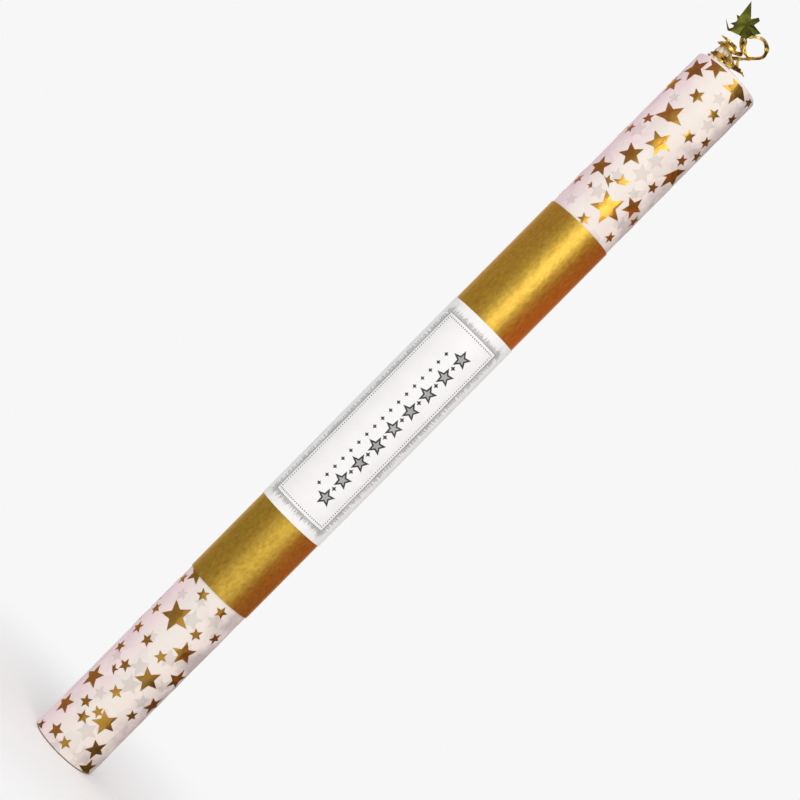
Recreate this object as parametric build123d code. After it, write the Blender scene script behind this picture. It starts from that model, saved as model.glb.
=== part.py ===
from build123d import *
import math
import os

# Gift tube of long hand sparklers. Millimetres, +Z up. The origin is the centre of the tube's lower end face,
# the tube runs up +Z to its tied end, and the label's front looks along -Y.

# Sparklers
SPARKLER_LENGTH = 355.0
WIRE_DIA = 1.7
COAT_DIA = 4.0
COAT_LENGTH = 235.0
COAT_TAPER = 4.0
COAT_FOOT_WALL = 0.4
COAT_FIT = 0.02
TIP_COVER = 2.5
INNER_COUNT = 3
OUTER_COUNT = 9
OUTER_RING_PITCHES = 1.53
SPARKLER_GAP = 0.3

# Card tube and the cup pressed into its lower end, open side down
TUBE_WALL = 1.4
HEAD_ROOM = 3.0
FINGER_ROOM = 8.0
BACK_GAP = 0.2
PLUG_DEPTH = 6.0
PLUG_FLOOR = 1.6
PLUG_WALL = 0.7
PLUG_FIT = 0.03

# Paper layers, from the tube outwards
GLUE_LINE = 0.05
TISSUE_THICKNESS = 0.35
TISSUE_FOOT_RISE = 0.4
BAND_THICKNESS = 0.25
BAND_LENGTH = 198.0
BAND_RISE = 2.5
LABEL_THICKNESS = 0.2
LABEL_LENGTH = 106.0
LABEL_RISE = -6.5

# Gathered end of the tissue: a flat crown and a pleated neck that leans towards -X
PLEATS = 12
CROWN_HEIGHT = 1.2
CROWN_ROUND = 0.7
CROWN_SHEET = 0.5
NECK_OFFSET = 6.2
NECK_LEAN = 15.0
NECK_LENGTH = 10.6
NECK_DIA = 4.6
NECK_FOOT_DIA = 8.4
NECK_FOOT_RISE = 1.0
NECK_TOP_DIA = 3.6
PLEAT_SHARE = 0.11

# Foil garland: one wire wound on the neck, and a star of two foil leaves
GARLAND_DIA = 1.2
WIND_GAP = 0.1
LOWER_WIND_START = 1.3
LOWER_WIND_PITCH = 2.4
LOWER_QUARTERS = 6
UPPER_WIND_START = 7.4
UPPER_WIND_PITCH = 1.9
UPPER_QUARTERS = 4
STAR_SHEET = 0.3
STAR_GAP = 0.05
FRONT_STAR_CENTRE = (-9.8, 20.6)
FRONT_STAR_REACH = (8.1, 5.6, 6.6, 7.0, 6.0)
FRONT_STAR_WAIST = 3.3
FRONT_STAR_TURN = 120.0
BACK_STAR_CENTRE = (-9.4, 20.0)
BACK_STAR_REACH = (5.2, 4.4, 6.6, 6.4, 5.6)
BACK_STAR_WAIST = 2.8
BACK_STAR_TURN = 94.0

# The wire's free stretches, as points above the centre of the tube's upper rim
TAIL_ROUTE = (
    (4.5, -3.2, 4.4),
    (2.3, -3.7, 4.7),
    (-0.4, -3.8, 4.1),
    (-3.4, -3.5, 3.1),
)
LOOP_ROUTE = (
    (-4.2, 2.8, 6.9),
    (-0.8, 1.5, 9.6),
    (2.5, 0.6, 13.5),
    (4.0, 0.2, 17.4),
    (2.4, 0.0, 20.5),
    (-1.0, 0.0, 21.6),
    (-4.2, 0.0, 20.4),
    (-7.1, 0.0, 19.0),
    (-8.0, 0.0, 16.8),
    (-6.2, -0.2, 14.5),
    (-3.9, -1.2, 12.5),
    (-3.3, -2.5, 10.3),
    (-5.3, -3.3, 9.0),
)
END_ROUTE = (
    (-10.8, -3.1, 10.0),
    (-12.8, -2.8, 9.8),
)

# Sizes that follow from those above
pitch = COAT_DIA + SPARKLER_GAP
inner_ring = pitch / math.sqrt(3)
outer_ring = pitch * OUTER_RING_PITCHES
bundle_radius = outer_ring + pitch / 2
bore_radius = bundle_radius + FINGER_ROOM / 2
bundle_back = bore_radius - bundle_radius - BACK_GAP
tube_radius = bore_radius + TUBE_WALL
tube_length = PLUG_DEPTH + SPARKLER_LENGTH + HEAD_ROOM
tissue_bore = tube_radius + GLUE_LINE
tissue_radius = tissue_bore + TISSUE_THICKNESS
band_bore = tissue_radius + GLUE_LINE
band_radius = band_bore + BAND_THICKNESS
band_middle = tube_length / 2 + BAND_RISE
label_bore = band_radius + GLUE_LINE
label_middle = band_middle + LABEL_RISE
neck_tilt = math.radians(NECK_LEAN)
neck_axis = Vector(-math.sin(neck_tilt), 0, math.cos(neck_tilt))
neck_right = Vector(math.cos(neck_tilt), 0, math.sin(neck_tilt))
neck_base = Vector(-NECK_OFFSET, 0, tube_length + CROWN_HEIGHT)
wind_radius = NECK_DIA / 2 + WIND_GAP + GARLAND_DIA / 2


def sleeve(bore, thickness, bottom, length):
    """A closed paper or card ring."""
    ring = Circle(bore + thickness) - Circle(bore)
    return Pos(0, 0, bottom) * extrude(ring, length)


def base_plug():
    """Card cup, open side down, its rim flush with the tube's lower end."""
    outside = bore_radius - PLUG_FIT
    floor = Pos(0, 0, PLUG_DEPTH - PLUG_FLOOR) * extrude(Circle(outside), PLUG_FLOOR)
    return floor + sleeve(outside - PLUG_WALL, PLUG_WALL, 0, PLUG_DEPTH)


def sparkler_places():
    """Centre of each sparkler: three in the middle and nine round them, pushed to the back of the tube."""
    places = []
    rings = ((INNER_COUNT, inner_ring, 0), (OUTER_COUNT, outer_ring, 180 / OUTER_COUNT))
    for count, radius, turn in rings:
        for index in range(count):
            angle = math.radians(turn + index * 360 / count)
            places.append((radius * math.cos(angle), bundle_back + radius * math.sin(angle)))
    return places


def sparkler_wire():
    """Straight handle wire, standing on the plug's floor."""
    return Pos(0, 0, PLUG_DEPTH) * extrude(Circle(WIRE_DIA / 2), SPARKLER_LENGTH - TIP_COVER)


def sparkler_coat():
    """Spark coating round the upper part of a wire, with a tapered foot and a round tip over the wire's end."""
    tip = PLUG_DEPTH + SPARKLER_LENGTH
    foot = tip - COAT_LENGTH
    wire_end = tip - TIP_COVER
    bore = WIRE_DIA / 2 + COAT_FIT
    radius = COAT_DIA / 2
    shoulder = tip - radius
    diagonal = radius * math.sqrt(0.5)
    outline = Polyline(
        (0, tip),
        (0, wire_end),
        (bore, wire_end),
        (bore, foot),
        (bore + COAT_FOOT_WALL, foot),
        (radius, foot + COAT_TAPER),
        (radius, shoulder),
    )
    cap = ThreePointArc((radius, shoulder), (diagonal, shoulder + diagonal), (0, tip))
    profile = make_face([*outline.edges(), *cap.edges()])
    return revolve(Plane.XZ * profile, Axis.Z)


def pleated_section(centre, lean, radius, depth_share):
    """Closed outline of equal arcs, one a pleat, on a plane that leans towards -X."""
    depth = radius * depth_share
    tilt = math.radians(lean)
    across = Vector(math.cos(tilt), 0, math.sin(tilt))
    along = Vector(-math.sin(tilt), 0, math.cos(tilt))
    plane = Plane(origin=centre, x_dir=across, z_dir=along)

    def point(half_steps, reach):
        angle = math.pi * half_steps / PLEATS
        return plane.from_local_coords(Vector(reach * math.cos(angle), reach * math.sin(angle), 0))

    arcs = []
    for index in range(PLEATS):
        valley = point(2 * index, radius - depth)
        crest = point(2 * index + 1, radius)
        arcs.append(Edge.make_three_point_arc(valley, crest, point(2 * index + 2, radius - depth)))
    return Face(Wire(arcs))


def neck_point(distance):
    """Point on the neck's middle line."""
    return neck_base + neck_axis * distance


def tissue_top():
    """Tissue folded in over the rim, hollow under its crown, drawn up into a pleated neck."""
    rim = tube_length
    crown = rim + CROWN_HEIGHT
    neck_radius = NECK_DIA / 2
    crown_shape = loft(
        [
            pleated_section((0, 0, rim), 0, tissue_radius, 0),
            pleated_section((0, 0, crown - CROWN_ROUND / 2), 0, tissue_radius - CROWN_ROUND / 2, 0),
            pleated_section((0, 0, crown), 0, tissue_radius - CROWN_ROUND * 2, 0),
        ],
        ruled=True,
    )
    neck_shape = loft(
        [
            pleated_section((-NECK_OFFSET, 0, crown - CROWN_SHEET), 0, NECK_FOOT_DIA / 2, PLEAT_SHARE),
            pleated_section(neck_point(NECK_FOOT_RISE), NECK_LEAN, neck_radius, PLEAT_SHARE),
            pleated_section(neck_point(NECK_LENGTH), NECK_LEAN, NECK_TOP_DIA / 2, PLEAT_SHARE),
        ],
        ruled=True,
    )
    hollow_height = CROWN_HEIGHT - CROWN_SHEET
    hollow = Pos(0, 0, rim) * extrude(Circle(bore_radius), hollow_height)
    return crown_shape + neck_shape - hollow


def winding(start, wind_pitch, quarters):
    """Points and directions of a helix on the neck, one every quarter turn, from its front by its left side."""
    stations = []
    for quarter in range(quarters + 1):
        angle = math.pi * quarter / 2
        front = Vector(0, -1, 0)
        outward = front * math.cos(angle) - neck_right * math.sin(angle)
        onward = front * -math.sin(angle) - neck_right * math.cos(angle)
        place = neck_point(start + wind_pitch * quarter / 4) + outward * wind_radius
        heading = onward * (2 * math.pi * wind_radius) + neck_axis * wind_pitch
        stations.append((place, heading.normalized()))
    return stations


def garland_stations():
    """The whole wire from its tail to its other end, as places with directions."""
    rim = Vector(0, 0, tube_length)
    lower = winding(LOWER_WIND_START, LOWER_WIND_PITCH, LOWER_QUARTERS)
    upper = winding(UPPER_WIND_START, UPPER_WIND_PITCH, UPPER_QUARTERS)
    stations = [(rim + Vector(*place), None) for place in TAIL_ROUTE]
    stations += lower
    stations += [(rim + Vector(*place), None) for place in LOOP_ROUTE]
    stations += upper
    stations += [(rim + Vector(*place), None) for place in END_ROUTE]
    filled = []
    for index, (place, heading) in enumerate(stations):
        before = stations[max(index - 1, 0)][0]
        after = stations[min(index + 1, len(stations) - 1)][0]
        filled.append((place, heading or (after - before).normalized()))
    return filled


def arc_through(start, corner, end):
    """Arc from start to end whose end tangents meet at the corner."""
    middle = (start + end) / 2
    half_chord = (end - start).length / 2
    height = (corner - middle).length
    quarter_turn = math.atan2(height, half_chord) / 2
    crest = middle + (corner - middle).normalized() * (half_chord * math.tan(quarter_turn))
    return Edge.make_three_point_arc(start, crest, end)


def biarc(first, second):
    """Two arcs that join two places smoothly in their directions."""
    (start, leaving), (end, arriving) = first, second
    span = end - start
    both = leaving + arriving
    lead = span.dot(both)
    spare = 4 - both.dot(both)
    reach = (math.sqrt(lead * lead + spare * span.dot(span)) - lead) / spare
    near_corner = start + leaving * reach
    far_corner = end - arriving * reach
    joint = (near_corner + far_corner) / 2
    return [arc_through(start, near_corner, joint), arc_through(joint, far_corner, end)]


def least_gap(arcs, diameter):
    """Least clear distance between two stretches of the wire, measured on points along it."""
    step = diameter / 4
    places = []
    travelled = 0.0
    for arc in arcs:
        count = max(2, math.ceil(arc.length / step))
        for index in range(count):
            share = index / count
            places.append((travelled + share * arc.length, arc.position_at(share)))
        travelled += arc.length
    apart = 3 * diameter
    gaps = []
    for index, (distance, place) in enumerate(places):
        for other_distance, other in places[index + 1:]:
            if other_distance - distance > apart:
                gaps.append((other - place).length)
    return min(gaps) - diameter


def garland_wire():
    """The garland's wire as one unbroken tube, with its turns, ring-shaped loop and two loose ends."""
    stations = garland_stations()
    arcs = []
    for first, second in zip(stations, stations[1:]):
        arcs += biarc(first, second)
    start, heading = stations[0]
    profile = Plane(origin=start, z_dir=heading) * Circle(GARLAND_DIA / 2)
    tube = sweep(profile, path=Wire(arcs))
    length = sum(arc.length for arc in arcs)
    section = math.pi * (GARLAND_DIA / 2) ** 2
    tightest = min(arc.radius for arc in arcs)
    print(f"garland wire: length {length:.1f} mm, tightest bend radius {tightest:.2f} mm")
    print(f"garland wire: volume {tube.volume:.2f}, section times length {section * length:.2f} mm3")
    print(f"garland wire: least gap to itself {least_gap(arcs, GARLAND_DIA):.2f} mm")
    return tube


def foil_star(centre, reaches, waist, turn, back):
    """Five-armed foil leaf that faces -Y, with its rear face at depth back."""
    tip_step = 2 * math.pi / len(reaches)
    outline = []
    for index, reach in enumerate(reaches):
        tip_angle = math.radians(turn) - index * tip_step
        notch_angle = tip_angle - tip_step / 2
        outline.append((reach * math.cos(tip_angle), reach * math.sin(tip_angle)))
        outline.append((waist * math.cos(notch_angle), waist * math.sin(notch_angle)))
    leaf = extrude(make_face(Polyline(*outline, close=True)), STAR_SHEET)
    across, up = centre
    return Location((across, back, tube_length + up), (90, 0, 0)) * leaf


def save(name, solid):
    """Write one piece under its node's name."""
    solid.label = name
    export_step(solid, f"parts/{name}.step")


os.makedirs("parts", exist_ok=True)
star_seat = GARLAND_DIA / 2 + STAR_GAP

save("card_tube", sleeve(bore_radius, TUBE_WALL, 0, tube_length))
save("base_plug", base_plug())
save("star_tissue", sleeve(tissue_bore, TISSUE_THICKNESS, TISSUE_FOOT_RISE, tube_length - TISSUE_FOOT_RISE))
save("gold_band", sleeve(band_bore, BAND_THICKNESS, band_middle - BAND_LENGTH / 2, BAND_LENGTH))
save("label", sleeve(label_bore, LABEL_THICKNESS, label_middle - LABEL_LENGTH / 2, LABEL_LENGTH))
save("tissue_top", tissue_top())
save("garland_wire", garland_wire())
save(
    "garland_star_front",
    foil_star(FRONT_STAR_CENTRE, FRONT_STAR_REACH, FRONT_STAR_WAIST, FRONT_STAR_TURN, -star_seat),
)
save(
    "garland_star_back",
    foil_star(BACK_STAR_CENTRE, BACK_STAR_REACH, BACK_STAR_WAIST, BACK_STAR_TURN, star_seat + STAR_SHEET),
)
for number, (across, back) in enumerate(sparkler_places(), start=1):
    place = Pos(across, back, 0)
    save(f"sparkler_wire_{number:02d}", place * sparkler_wire())
    save(f"sparkler_coat_{number:02d}", place * sparkler_coat())
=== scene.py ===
import math
import random

import bpy
from mathutils import Matrix, Vector, noise


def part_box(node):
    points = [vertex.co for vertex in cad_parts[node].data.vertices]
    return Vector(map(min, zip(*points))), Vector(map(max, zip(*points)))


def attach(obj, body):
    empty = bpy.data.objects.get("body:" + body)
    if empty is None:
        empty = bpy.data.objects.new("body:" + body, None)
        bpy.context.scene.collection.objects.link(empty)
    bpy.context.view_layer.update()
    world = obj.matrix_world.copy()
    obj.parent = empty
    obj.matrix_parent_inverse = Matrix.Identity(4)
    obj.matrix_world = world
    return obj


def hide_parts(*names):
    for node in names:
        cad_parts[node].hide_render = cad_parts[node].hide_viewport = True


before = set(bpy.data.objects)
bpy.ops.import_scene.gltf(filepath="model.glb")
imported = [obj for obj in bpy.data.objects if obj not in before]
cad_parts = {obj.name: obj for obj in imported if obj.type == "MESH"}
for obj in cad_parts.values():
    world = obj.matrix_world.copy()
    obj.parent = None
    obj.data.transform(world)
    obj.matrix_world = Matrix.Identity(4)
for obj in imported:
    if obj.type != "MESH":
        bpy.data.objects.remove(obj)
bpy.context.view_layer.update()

# A sparkler gift tube: star tissue, gold band and label on a card tube, with a tied top and a foil garland.
# Sizes are in metres. An angle round the tube is 0 at the front (-Y) and grows towards the right (+X).
MM = 0.001
FULL_TURN = 2 * math.pi

# Camera and picture
PICTURE = 800
SENSOR = 36.0
LENS = 99.06
CAMERA_PLACE = Vector((-0.0024, -0.853, 0.1873))
CAMERA_ROLL = math.radians(44.74)
camera_right = Vector((math.cos(CAMERA_ROLL), 0, math.sin(CAMERA_ROLL)))
camera_up = Vector((-math.sin(CAMERA_ROLL), 0, math.cos(CAMERA_ROLL)))
camera_forward = Vector((0, 1, 0))

# Light
BACKGROUND = (0.93, 0.93, 0.93, 1)
AMBIENT = (0.50, 0.49, 0.495)
AMBIENT_SLOPE = (-0.24, -0.18, 0.6)
FLOOR_COLOUR = (0.96, 0.96, 0.96, 1)
FLOOR_RADIUS = 0.9
FLOOR_SHADOW_REACH = 0.16
FLOOR_SEGMENTS = 96
FLOOR_DROP = 0.1 * MM

# Lamps: name, place, size, power, colour, and whether shiny surfaces mirror them
LAMPS = [
    ("key", (0.22, -0.90, 0.42), (0.52, 0.27), 2.0, (1.0, 0.97, 0.92), True),
    ("fill", (0.05, -0.45, 0.75), (0.4, 0.3), 0.85, (1.0, 0.98, 0.96), False),
]

# Cards that only shiny surfaces see, one above the other on each side: the side's two ends and its colours
CARD_EDGES = [1.0, 0.38, 0.17, -0.02, -0.5]
CARD_SIDES = [
    ((-0.45, -0.80), (-0.85, 0.90), [
        (0.52, 0.31, 0.48), (0.58, 0.50, 0.34), (0.39, 0.43, 0.27), (0.46, 0.29, 0.42),
    ]),
    ((0.66, -0.62), (0.50, 1.00), [
        (0.12, 0.13, 0.15), (0.80, 0.25, 0.19), (0.58, 0.20, 0.18), (0.11, 0.11, 0.12),
    ]),
]

# Wrapped sheets
COLUMNS = 144
SEAM = math.radians(172)
LAP_RAMP = math.radians(8)
TISSUE_SHEET = 0.12 * MM
TISSUE_LAP = math.radians(28)
TISSUE_INSET = 0.09 * MM
CRUMPLE_SEED = 5
CRUMPLE = 0.07 * MM
CRUMPLE_SCALE = 130
CRUMPLE_FADE = 5 * MM
PATCH_SCALE = 60
PATCH_SHIFT = Vector((3.1, 8.2, 0.4))
PATCH_LEVEL = 0.55
PATCH_CONTRAST = 1.4
FACET_SIZE = 5.5 * MM
FACET_DEPTH = 0.34 * MM
FACET_SHARPNESS = 9.0
FACET_VARIETY = 3.7
SHARP_ANGLE = math.radians(42)
TISSUE_ROW = 1.25 * MM
HIDDEN_ROW = 40 * MM
BAND_SHEET = 0.2 * MM
BAND_LAP = math.radians(24)
BAND_RIPPLE = 0.012 * MM
RIPPLE_SCALE = 320
BAND_ROW = 1.6 * MM
LABEL_SHEET = 0.15 * MM
LABEL_LAP = math.radians(30)
LABEL_ROW = 6 * MM

# Tissue colours from the left side of the tube to the right, the last a painted shade that darkens the right
# side, then the neck, then the layer below
TISSUE_CREAM = (0.865, 0.81, 0.745)
TISSUE_TINTS_AND_SHADE = [
    (0.05, (0.93, 0.745, 0.77)),
    (0.40, TISSUE_CREAM),
    (0.78, (0.905, 0.80, 0.735)),
    # Painted shade: the right side of the tube darkened
    (0.98, (0.64, 0.545, 0.53)),
]
TINT_DRIFT = 0.14
CLOUD_RANGE = (0.3, 0.7)
# Painted shade: the neck's pleats darkened to a deep beige, and its cream darkened and warmed as painted
# shade and painted reflection of the gold foil
PAINTED_PLEAT_SHADE = (0.50, 0.37, 0.23)
NECK_CREAM_AND_SHADE = (0.80, 0.70, 0.565)
SHOW_THROUGH = 0.84

# Foil stars on the tissue
STAR_SEED = 7
STAR_WAIST = 0.44
GHOST_WAIST = 0.48
STAR_GROWTH = 1.07
STAR_PROUD = 0.09 * MM
STAR_SUNK = 0.12 * MM
GHOST_PROUD = 0.055 * MM
DECAL_PITCH = 0.9 * MM
SMALL_STAR = 2.6 * MM
MIDDLE_STAR = 4.9 * MM
LARGE_STAR = 6.4 * MM
GOLD_SIZES = [SMALL_STAR] * 3 + [MIDDLE_STAR] * 2 + [LARGE_STAR]
GHOST_SIZES = [SMALL_STAR] + [MIDDLE_STAR] * 2 + [LARGE_STAR]
GOLD_MARGIN = 1.02
STAR_SPACING = 1.5 * MM
STAR_CLOSENESS = 0.8
STAR_LEAN = 34
GHOST_LEAN = 36
EDGE_MARGIN = 0.15 * MM
LEAST_STAR = 1.2 * MM
FRONT_ARC = math.radians(96)
SCATTER_TRIES = 2600
BACK_GHOSTS = 40
STAR_TONES = [(0.0, (0.72, 0.66, 0.6)), (0.6, (1, 1, 1)), (1.0, (1.0, 0.9, 0.75))]

# Stars seen in the picture: pixel x, pixel y, reach in millimetres, turn clockwise from upright in degrees
# and, where a fold of the tissue cuts a star, the cut's direction and its distance from the middle
SEEN_STARS = [
    (695, 69, 5.4, -2), (718.5, 65, 4.6, -27, 45, 1.9), (738, 90, 6.0, -3, 69, 1.95), (750, 102, 2.6, 10),
    (697, 96, 3.0, -6), (670, 115, 5.6, -8, 216, 2.6), (714, 115, 2.6, 36), (648, 118, 2.6, 0),
    (630, 128, 2.6, 20), (672, 84, 4.4, 12), (659, 143, 5.0, -17), (689, 137, 2.7, 0), (631, 154, 4.8, -1),
    (706, 143, 2.6, -5), (732, 120, 2.6, 8), (682, 161, 2.5, 3), (697, 157, 2.6, 18), (600, 166, 4.7, 15),
    (673, 175, 6.2, 10, -18, 1.5), (653, 188, 2.5, 10), (578, 179, 2.6, -12), (608, 208, 6.5, -5),
    (633, 208, 4.6, -25), (584, 219, 2.5, 0), (610, 238, 2.4, 2), (634, 222, 2.8, 14),
    (607, 181, 2.6, 24, 250, 0.3), (622, 183, 3.4, 8, 190, 0.6), (591, 185, 1.6, 0, 90, 0.4),
    (176, 616, 6.1, -4), (203, 595, 2.6, 2), (221, 613, 2.6, -34), (196, 635, 2.6, 0), (215, 639, 2.6, -10),
    (184, 654, 4.8, 15), (161, 657, 2.6, -8), (147, 640, 2.6, 36), (125, 665, 2.6, 30), (148, 680, 5.0, -3),
    (177, 680, 4.6, 30), (116, 692, 2.7, -6), (93, 676, 5.0, 20), (138, 627, 2.8, 10), (156, 608, 2.6, -14),
    (183, 578, 2.6, 6), (120, 646, 2.6, 25), (86, 701, 2.6, 5), (98, 712, 2.4, -16), (105, 723, 4.9, -3),
    (83, 717, 2.7, 12), (65, 703, 4.4, 18), (132, 716, 2.5, 0), (153, 706, 4.4, -9), (56, 730, 3.2, 36),
    (65, 743, 2.6, -8), (96, 750, 4.3, -5), (87, 769, 4.4, 22), (40, 725, 2.5, 0), (197, 573, 4.6, 30),
    (113, 669, 2.2, 24, 260, 0.3),
]

# Faint stars of the layer below: pixel x, pixel y, reach in millimetres, turn in degrees
FAINT_STARS = [
    (674, 97, 2.6, 0), (638, 129, 4.2, 8), (719, 99, 3.0, 20), (656, 161, 3.8, -10), (617, 175, 3.0, 14),
    (642, 174, 4.2, 4), (634, 194, 2.8, -8), (598, 191, 3.6, 22), (571, 199, 2.8, 0),
    (708, 126, 3.4, 30), (622, 224, 3.0, 0), (662, 199, 3.4, -20), (182, 594, 2.7, 6), (201, 602, 2.6, -10),
    (192, 620, 4.4, 24), (152, 636, 2.6, 0), (140, 667, 4.0, -4), (130, 685, 4.4, 10), (87, 731, 4.4, -12),
    (83, 757, 4.8, 6), (169, 659, 4.2, 12), (164, 687, 3.4, -24), (53, 749, 2.8, 4), (215, 622, 3.6, 18),
    (117, 655, 3.0, -14), (142, 702, 3.4, 8), (100, 693, 3.0, 20),
]

# Label print
FRINGE_SEED = 11
FRAME_LOW = 130.3 * MM
FRAME_HIGH = 225.2 * MM
FRAME_HALF_ARC = math.radians(52.2)
FRAME_TURN = math.radians(-2.3)
FRAME_LINE = 0.24 * MM
FRINGE_PITCH = 0.36 * MM
FRINGE_LENGTH = (1.6 * MM, 3.0 * MM)
SIDE_FRINGE = 1.35
FRINGE_SLANT = 0.4
FRINGE_WIDTH = 0.78 * MM
TUFT_LEAVES = 9
TUFT_SPREAD = math.radians(64)
TUFT_LENGTH = (3.0 * MM, 5.4 * MM)
TUFT_WIDTH = 0.75 * MM
DOT_PITCH = 1.05 * MM
DOT_SIZE = 0.42 * MM
DOT_INSET = 1.4 * MM
INK_PROUD = 0.02 * MM
INK_SUNK = 0.05 * MM
INLAY_PROUD = 0.035 * MM
ORNAMENT_COUNT = 9
ORNAMENT_PITCH = 9.2 * MM
ORNAMENT_STAR = 3.9 * MM
ORNAMENT_INLAY = 0.56
ORNAMENT_SPOT = 1.2 * MM
SPOT_TIPS = 4
SPOT_WAIST = 0.45
SMALL_ROW_COUNT = 17
SMALL_ROW_PITCH = 4.3 * MM
SMALL_ROW_STAR = 1.0 * MM
SMALL_ROW_WAIST = 0.5
ORNAMENT_SHIFT = 4.2 * MM
SMALL_ROW_SHIFT = -1.6 * MM

# Tied top: the neck and the crown, whose rings are distances in from an edge and heights in millimetres
NECK_LEAN = math.radians(15)
NECK_OFFSET = 6.2 * MM
CROWN_HEIGHT = 1.2 * MM
NECK_LENGTH = 10.6 * MM
CROWN_RISE = 3.0 * MM
CROWN_SAG = 0.3
CROWN_STEPS = 12
CROWN_FOLD = 0.09
CROWN_LIFT = 0.3 * MM
CROWN_CURVE = 1.3
UNDERSIDE = [(0.3, 0.55), (0.1, 0.02)]
UNDERSIDE_MIDDLE = 0.6 * MM
SHOULDER = [(0.0, 0.0), (0.12, 0.55), (0.45, 1.05), (1.0, 1.4), (1.7, 1.62)]
SHOULDER_FOLD = 0.002
NECK_FOOT = 4.9 * MM
NECK_GAP = 0.3 * MM
NECK_FLARE = 1.5 * MM
NECK_RADIUS = 2.45 * MM
NECK_BULGE = 0.7 * MM
NECK_BULGE_AT = 5.6
NECK_BULGE_PITCH = 4.4
NECK_TOP = 1.9 * MM
NECK_TAPER = 0.7
NECK_STEPS = 26
NECK_FOLD = 0.14
NECK_END_FOLD = 0.25
NECK_LAST_RING = 0.98
NECK_END = 0.55
NECK_TIP = 0.1 * MM
TOP_COLUMNS = 120
FOLDS = 12
FOLD_WANDER = 0.35
FOLD_SPREAD = 1.7
FOLD_DRIFT = 0.05

# Garland, in millimetres: windings as start and pitch along the neck, quarter turns, first and last radius,
# and routes from the middle of the upper rim. A foil value of two numbers is a size and its noise's scale
LOWER_WIND = (1.3, 1.5, 6, 4.4, 3.5)
UPPER_WIND = (7.4, 1.9, 4, 3.25, 3.25)
TAIL_ROUTE = [(4.5, -3.2, 4.4), (2.3, -3.7, 4.7), (-0.4, -3.8, 4.1), (-3.4, -3.5, 3.1)]
LOOP_ROUTE = [
    (-4.2, 2.8, 6.9), (-0.8, 1.5, 9.7), (1.9, 0.6, 12.3), (3.8, 0.3, 14.4), (4.6, 0.2, 16.4), (3.6, 0, 18.8),
    (1.2, 0, 20.4), (-0.5, 0, 20.4), (-2.2, 0, 19.6), (-4.0, 0, 18.5), (-5.6, 0, 17.2), (-6.2, 0, 15.5),
    (-5.3, -0.3, 13.8), (-3.2, -1.2, 11.9), (-2.3, -2.5, 9.9), (-4.6, -3.4, 8.4),
]
END_ROUTE = [(-10.8, -3.1, 10.0), (-12.8, -2.8, 9.8)]
STRAND_ROUTE = [
    (-2.0, -1.8, 8.4), (-0.9, -3.2, 6.6), (-0.2, -4.0, 5.0), (-1.0, -4.4, 4.4), (-3.3, -4.4, 5.6),
    (-6.4, -3.7, 7.7),
]
GARLAND_SHIFT = Vector((-0.6, 0, 1.0))
FOIL_STEP = 0.6 * MM
FOIL_SIDES = 10
FOIL_RADIUS = 0.67 * MM
STRAND_RADIUS = 0.42 * MM
RING_ROUTE = [
    (-5.4, 0, 16.8), (-4.6, 0.1, 15.5), (-4.0, 0.2, 14.3), (-3.1, 0.3, 13.1), (-1.8, 0.4, 12.2),
    (0, 0.5, 11.85), (1.9, 0.6, 12.3),
]
RING_RADIUS = 0.55 * MM
FOIL_FLATNESS = 0.44
FOIL_TWIST = math.pi / (15 * MM)
FOIL_END = 0.45
FOIL_END_STEPS = 4
FOIL_SWELL = (0.2, 420)
FOIL_WANDER = (1.5, 150)
FOIL_CRINKLE = (0.16, 800)
CRINKLE_SPREAD = 1.3

# Foil star: each leaf's middle, depth, arms (degrees and reach) and the waists after them, in millimetres
LEAF_SHEET = 0.1 * MM
LEAF_RIDGE = 0.12 * MM
LEAF_RINGS = 8
LEAF_EDGE_STEPS = 6
RIDGE_FALL = 1.5
RIDGE_END = 0.95
RIDGE_CURVE = 0.6
LEAF_BEND = 0.4 * MM
BEND_TURN = 2.4
BEND_START = 0.6
FRONT_LEAF = {
    "centre": (-8.9, 19.8), "depth": -1.7, "waists": [2.7, 3.0, 4.8, 5.0, 4.0],
    "arms": [(122.7, 9.2), (66, 8.7), (12, 6.7), (-48, 5.9), (-112, 6.6)],
}
BACK_LEAF = {
    "centre": (-8.9, 19.8), "depth": 0.8, "waists": [2.4, 2.4, 2.6, 3.4, 2.4],
    "arms": [(75, 4.6), (0, 4.6), (-72, 4.9), (-144, 5.9), (-185, 5.4)],
}
FOLDED_ARM = 1
FOLD_AT = 0.63
FOLD_BACK = 1.75
FOLD_LIFT = 0.35 * MM
FOLD_RISE = 0.3
LEAF_TIP = [
    (-10.6, 0.7, 16.6), (-11.6, 0.6, 14.9), (-12.3, 0.5, 14.0), (-13.0, 0.2, 14.2), (-16.1, -0.4, 16.1),
]
LEAF_TIP_WIDTH = 0.8 * MM
LEAF_TIP_TAPER = 1.05
LEAF_TIP_SECTION = (0.6, 0.4)

# Sparklers and their coatings
SPARKLERS = range(1, 13)
COAT_COLUMNS = 14
COAT_ROW = 2.4 * MM
COAT_GRAIN = 0.1 * MM
COAT_END = 0.62
COAT_SWELL = 0.36
COAT_LUMP = 3 * MM
LUMP_SCALE = 1.4
LUMP_SHIFT = 31.0


def round_size(node):
    """Outer radius, lower end and upper end of an upright round node."""
    low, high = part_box(node)
    return high.x, low.z, high.z


tissue_radius, tissue_low, tissue_high = round_size("star_tissue")
band_radius, band_low, band_high = round_size("gold_band")
label_radius, label_low, label_high = round_size("label")
bore_radius = round_size("base_plug")[0]
rim = round_size("card_tube")[2]
neck_axis = Vector((-math.sin(NECK_LEAN), 0, math.cos(NECK_LEAN)))
neck_right = Vector((math.cos(NECK_LEAN), 0, math.sin(NECK_LEAN)))
neck_front = Vector((0, -1, 0))
neck_base = Vector((-NECK_OFFSET, 0, rim + CROWN_HEIGHT))


def around(angle, height, radius):
    return Vector((radius * math.sin(angle), -radius * math.cos(angle), height))


def smooth_step(share):
    share = min(max(share, 0.0), 1.0)
    return share * share * (3 - 2 * share)


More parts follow.
